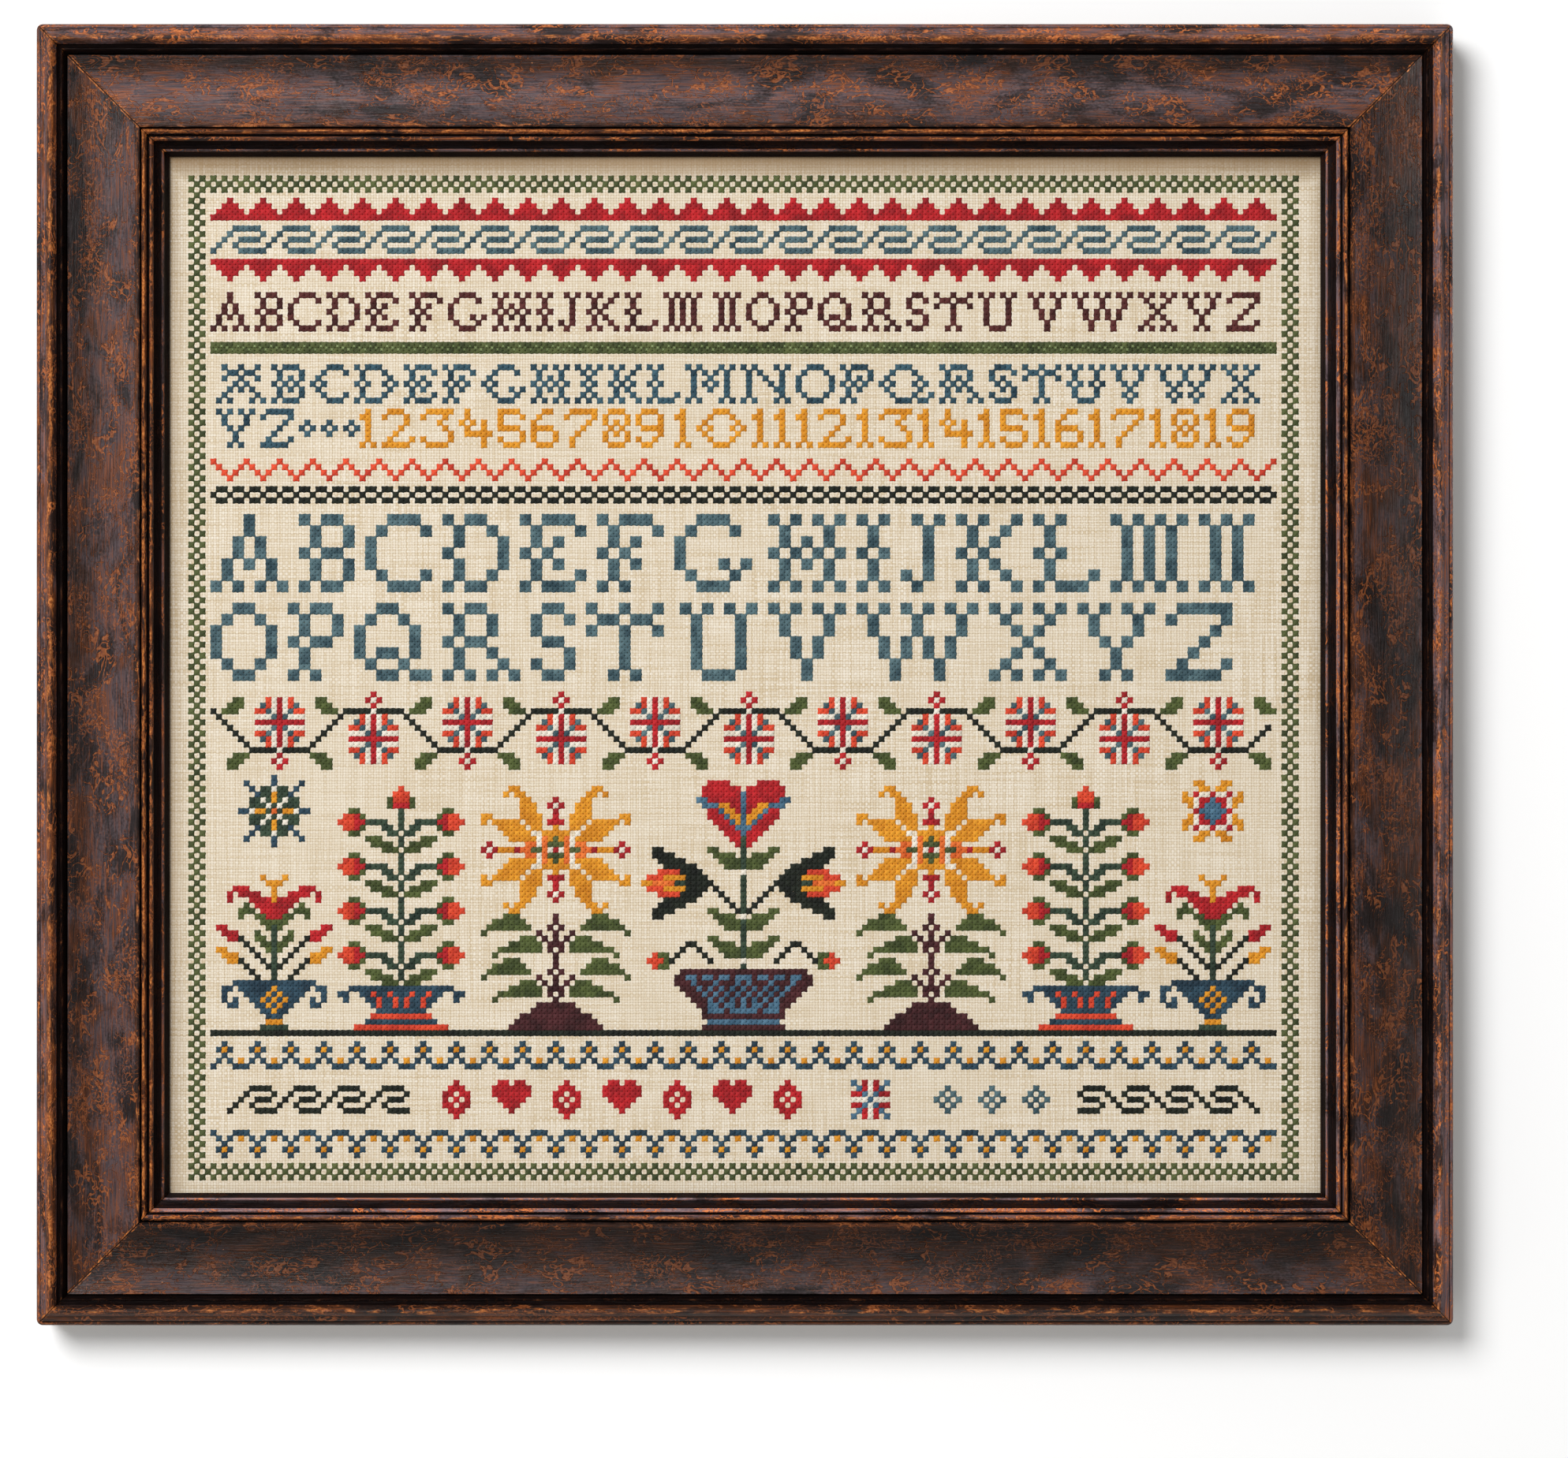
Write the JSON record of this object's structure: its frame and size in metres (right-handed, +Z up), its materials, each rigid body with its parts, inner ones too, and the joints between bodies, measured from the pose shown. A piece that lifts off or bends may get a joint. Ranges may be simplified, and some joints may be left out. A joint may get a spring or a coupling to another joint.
{
  "type": "framed cross stitch sampler in a wooden picture frame",
  "caption": "Cross stitched linen sampler with alphabets, bands and flower motifs, held flat on a board in a dark distressed wooden picture frame with mitred corners.",
  "frame": {"origin": "middle of the top rail's back face, which rests on the wall where the frame hangs", "axes": "+Z up, +X to the right as the sampler is read, +Y out of the back into the wall; the stitched face looks along -Y"},
  "size_m": [0.4634, 0.0259, 0.4258],
  "materials": {
    "frame_wood": "dark brown glaze worn through to burnt orange wood, satin",
    "linen": "ecru even weave with stranded cotton cross stitches, matt",
    "board": "plain brown pressed board, matt"
  },
  "bodies": {
    "root": {"rail_top": "frame_wood", "rail_bottom": "frame_wood", "rail_left": "frame_wood", "rail_right": "frame_wood", "sampler_linen": "linen", "backing_board": "board"}
  },
  "joints": []
}
